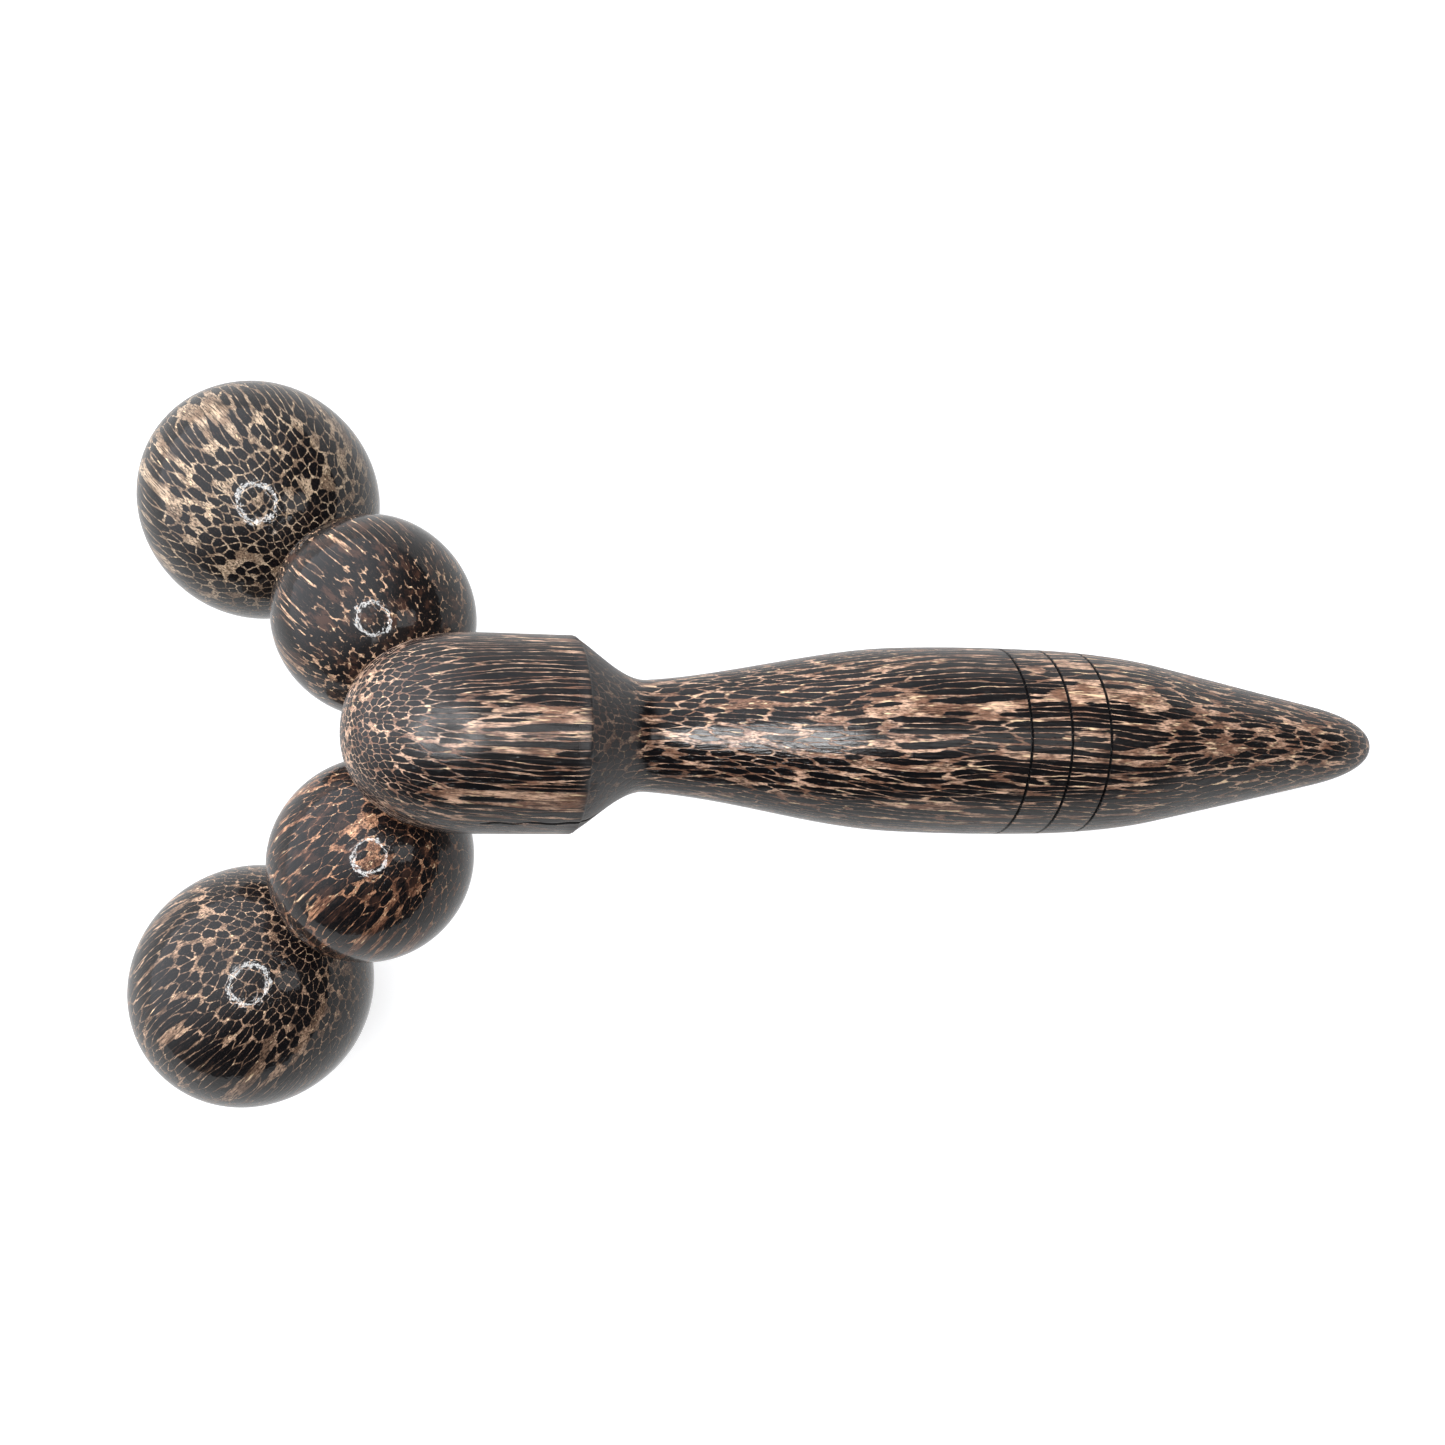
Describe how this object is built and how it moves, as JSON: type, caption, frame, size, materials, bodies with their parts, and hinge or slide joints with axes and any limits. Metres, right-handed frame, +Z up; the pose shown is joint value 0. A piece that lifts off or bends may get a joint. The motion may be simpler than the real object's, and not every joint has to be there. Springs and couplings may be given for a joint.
{
  "type": "hand massage roller",
  "caption": "Turned palm-wood handle with a forked head whose two sloping axles each carry a small and a large free-spinning wooden ball.",
  "frame": {"origin": "centre of the footprint on the table top, in the pose in which the roller rests on its two large balls and its tip", "axes": "+X from the head towards the tip, +Y to the right hand of a holder who looks from the tip towards the head, +Z up"},
  "size_m": [0.211, 0.1242, 0.0759],
  "materials": {
    "handle_wood": "glossy clear lacquer",
    "inner_ball_wood": "glossy clear lacquer",
    "outer_ball_wood": "glossy clear lacquer",
    "axle_steel": "drawn wire, plain",
    "washer_steel": "plain, lightly worn"
  },
  "bodies": {
    "handle": {"handle": "handle_wood", "right_axle": "axle_steel", "right_spacer": "washer_steel", "right_middle_washer": "washer_steel", "right_end_washer": "washer_steel", "left_axle": "axle_steel", "left_spacer": "washer_steel", "left_middle_washer": "washer_steel", "left_end_washer": "washer_steel"},
    "right_inner_ball": {"right_inner_ball": "inner_ball_wood"},
    "right_outer_ball": {"right_outer_ball": "outer_ball_wood"},
    "left_inner_ball": {"left_inner_ball": "inner_ball_wood"},
    "left_outer_ball": {"left_outer_ball": "outer_ball_wood"}
  },
  "joints": [
    {"name": "right_inner_ball_spin", "type": "hinge", "parent": "handle", "child": "right_inner_ball", "pos_m": [-0.03646, 0, 0.0589], "axis": [-0.6493, 0.5584, -0.5163], "continuous": true},
    {"name": "right_outer_ball_spin", "type": "hinge", "parent": "handle", "child": "right_outer_ball", "pos_m": [-0.03646, 0, 0.0589], "axis": [-0.6493, 0.5584, -0.5163], "continuous": true},
    {"name": "left_inner_ball_spin", "type": "hinge", "parent": "handle", "child": "left_inner_ball", "pos_m": [-0.03646, 0, 0.0589], "axis": [-0.6493, -0.5584, -0.5163], "continuous": true},
    {"name": "left_outer_ball_spin", "type": "hinge", "parent": "handle", "child": "left_outer_ball", "pos_m": [-0.03646, 0, 0.0589], "axis": [-0.6493, -0.5584, -0.5163], "continuous": true}
  ]
}
